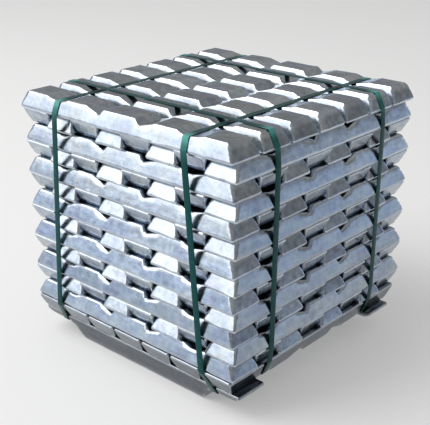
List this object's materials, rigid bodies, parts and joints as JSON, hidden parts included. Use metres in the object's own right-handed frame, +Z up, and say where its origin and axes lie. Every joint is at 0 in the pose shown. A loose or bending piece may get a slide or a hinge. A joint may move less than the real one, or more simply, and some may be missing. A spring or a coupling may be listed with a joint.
{
  "type": "strapped bundle of aluminium ingots",
  "caption": "Strapped bundle of notched aluminium ingots in crosswise nested layers, standing on deep foot ingots that leave room for lifting forks.",
  "frame": {"origin": "on the ground under the middle of the bundle's box", "axes": "+Z up, +X along the foot ingots, -Y the front face of the bundle"},
  "size_m": [0.71, 0.726, 0.6798],
  "materials": {
    "ingot_aluminium": "as cast, dull and mottled",
    "strap_plastic": "satin"
  },
  "bodies": {
    "root": {"top_ingot_layer": "ingot_aluminium", "ingot_layer_02": "ingot_aluminium", "ingot_layer_03": "ingot_aluminium", "ingot_layer_04": "ingot_aluminium", "ingot_layer_05": "ingot_aluminium", "ingot_layer_06": "ingot_aluminium", "ingot_layer_07": "ingot_aluminium", "ingot_layer_08": "ingot_aluminium", "ingot_layer_09": "ingot_aluminium", "ingot_layer_10": "ingot_aluminium", "ingot_layer_11": "ingot_aluminium", "ingot_layer_12": "ingot_aluminium", "ingot_layer_13": "ingot_aluminium", "base_ingot_layer": "ingot_aluminium", "front_foot_ingot": "ingot_aluminium", "back_foot_ingot": "ingot_aluminium", "front_strap_left": "strap_plastic", "front_strap_right": "strap_plastic", "side_strap_near": "strap_plastic", "side_strap_far": "strap_plastic"}
  },
  "joints": []
}
